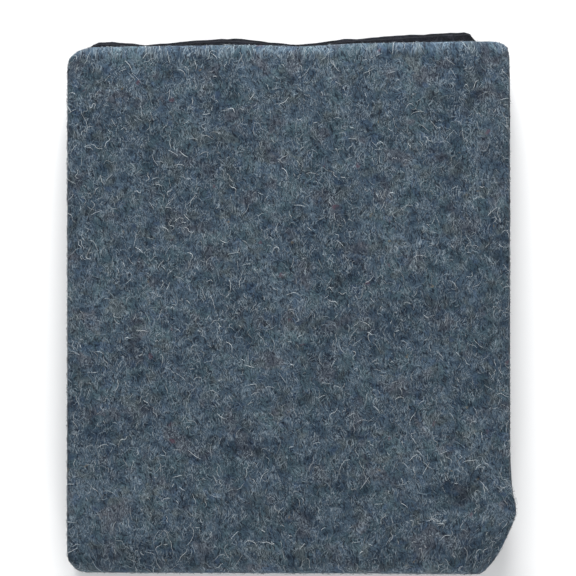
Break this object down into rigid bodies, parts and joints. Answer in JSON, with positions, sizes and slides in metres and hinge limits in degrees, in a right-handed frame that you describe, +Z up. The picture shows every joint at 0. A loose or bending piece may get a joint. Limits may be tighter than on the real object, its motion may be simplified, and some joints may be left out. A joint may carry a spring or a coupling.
{
  "type": "folded moving pad",
  "caption": "Thick recycled-felt moving pad, folded in quarters both ways for storage and lying on its back, for wrapping furniture and appliances.",
  "frame": {"origin": "middle of the underside, where the folded pad rests", "axes": "+Z up out of the pad's face, +Y along its length away from the big outer fold, +X across its width towards the loose side edges"},
  "size_m": [0.464, 0.5632, 0.0567],
  "materials": {
    "felt": "matte, mottled slate-blue needle-punched felt with pale loose fibres"
  },
  "bodies": {
    "root": {"pad": "felt"}
  },
  "joints": []
}
